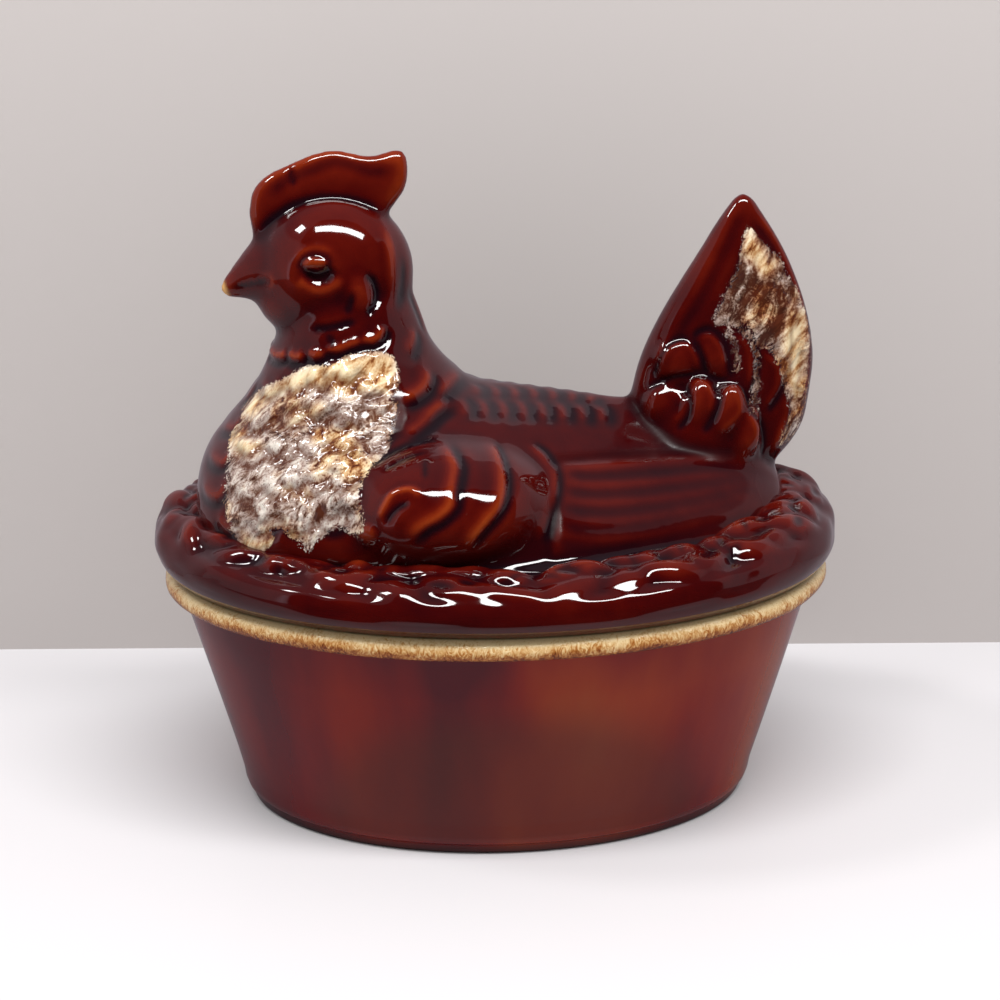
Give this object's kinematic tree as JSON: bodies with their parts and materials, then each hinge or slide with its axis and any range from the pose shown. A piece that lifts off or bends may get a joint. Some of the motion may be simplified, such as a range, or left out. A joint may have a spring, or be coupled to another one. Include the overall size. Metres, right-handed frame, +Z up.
{
  "type": "hen on nest dish",
  "caption": "Oval glazed stoneware baking dish with a rolled rim; its lift-off lid is a hollow hen sitting on her nest.",
  "frame": {"origin": "on the table under the middle of the dish's foot ring", "axes": "+Z up; the hen faces -X and her tail is at +X; +Y is her right side"},
  "size_m": [0.2827, 0.2186, 0.2691],
  "materials": {
    "dish_glaze": "glossy brown glaze, mottled from rust orange to purple brown, with a cream and gold drip on the rolled rim",
    "hen_glaze": "glossy maroon-brown glaze, rust orange where it thins over raised edges and near black where it pools, with cream foam on breast and tail"
  },
  "bodies": {
    "dish": {"dish": "dish_glaze"},
    "lid": {"hen_lid": "hen_glaze"}
  },
  "joints": [
    {"name": "lid_lift", "type": "slide", "parent": "dish", "child": "lid", "axis": [0, 0, 1], "range_m": [0, 0.12]}
  ]
}
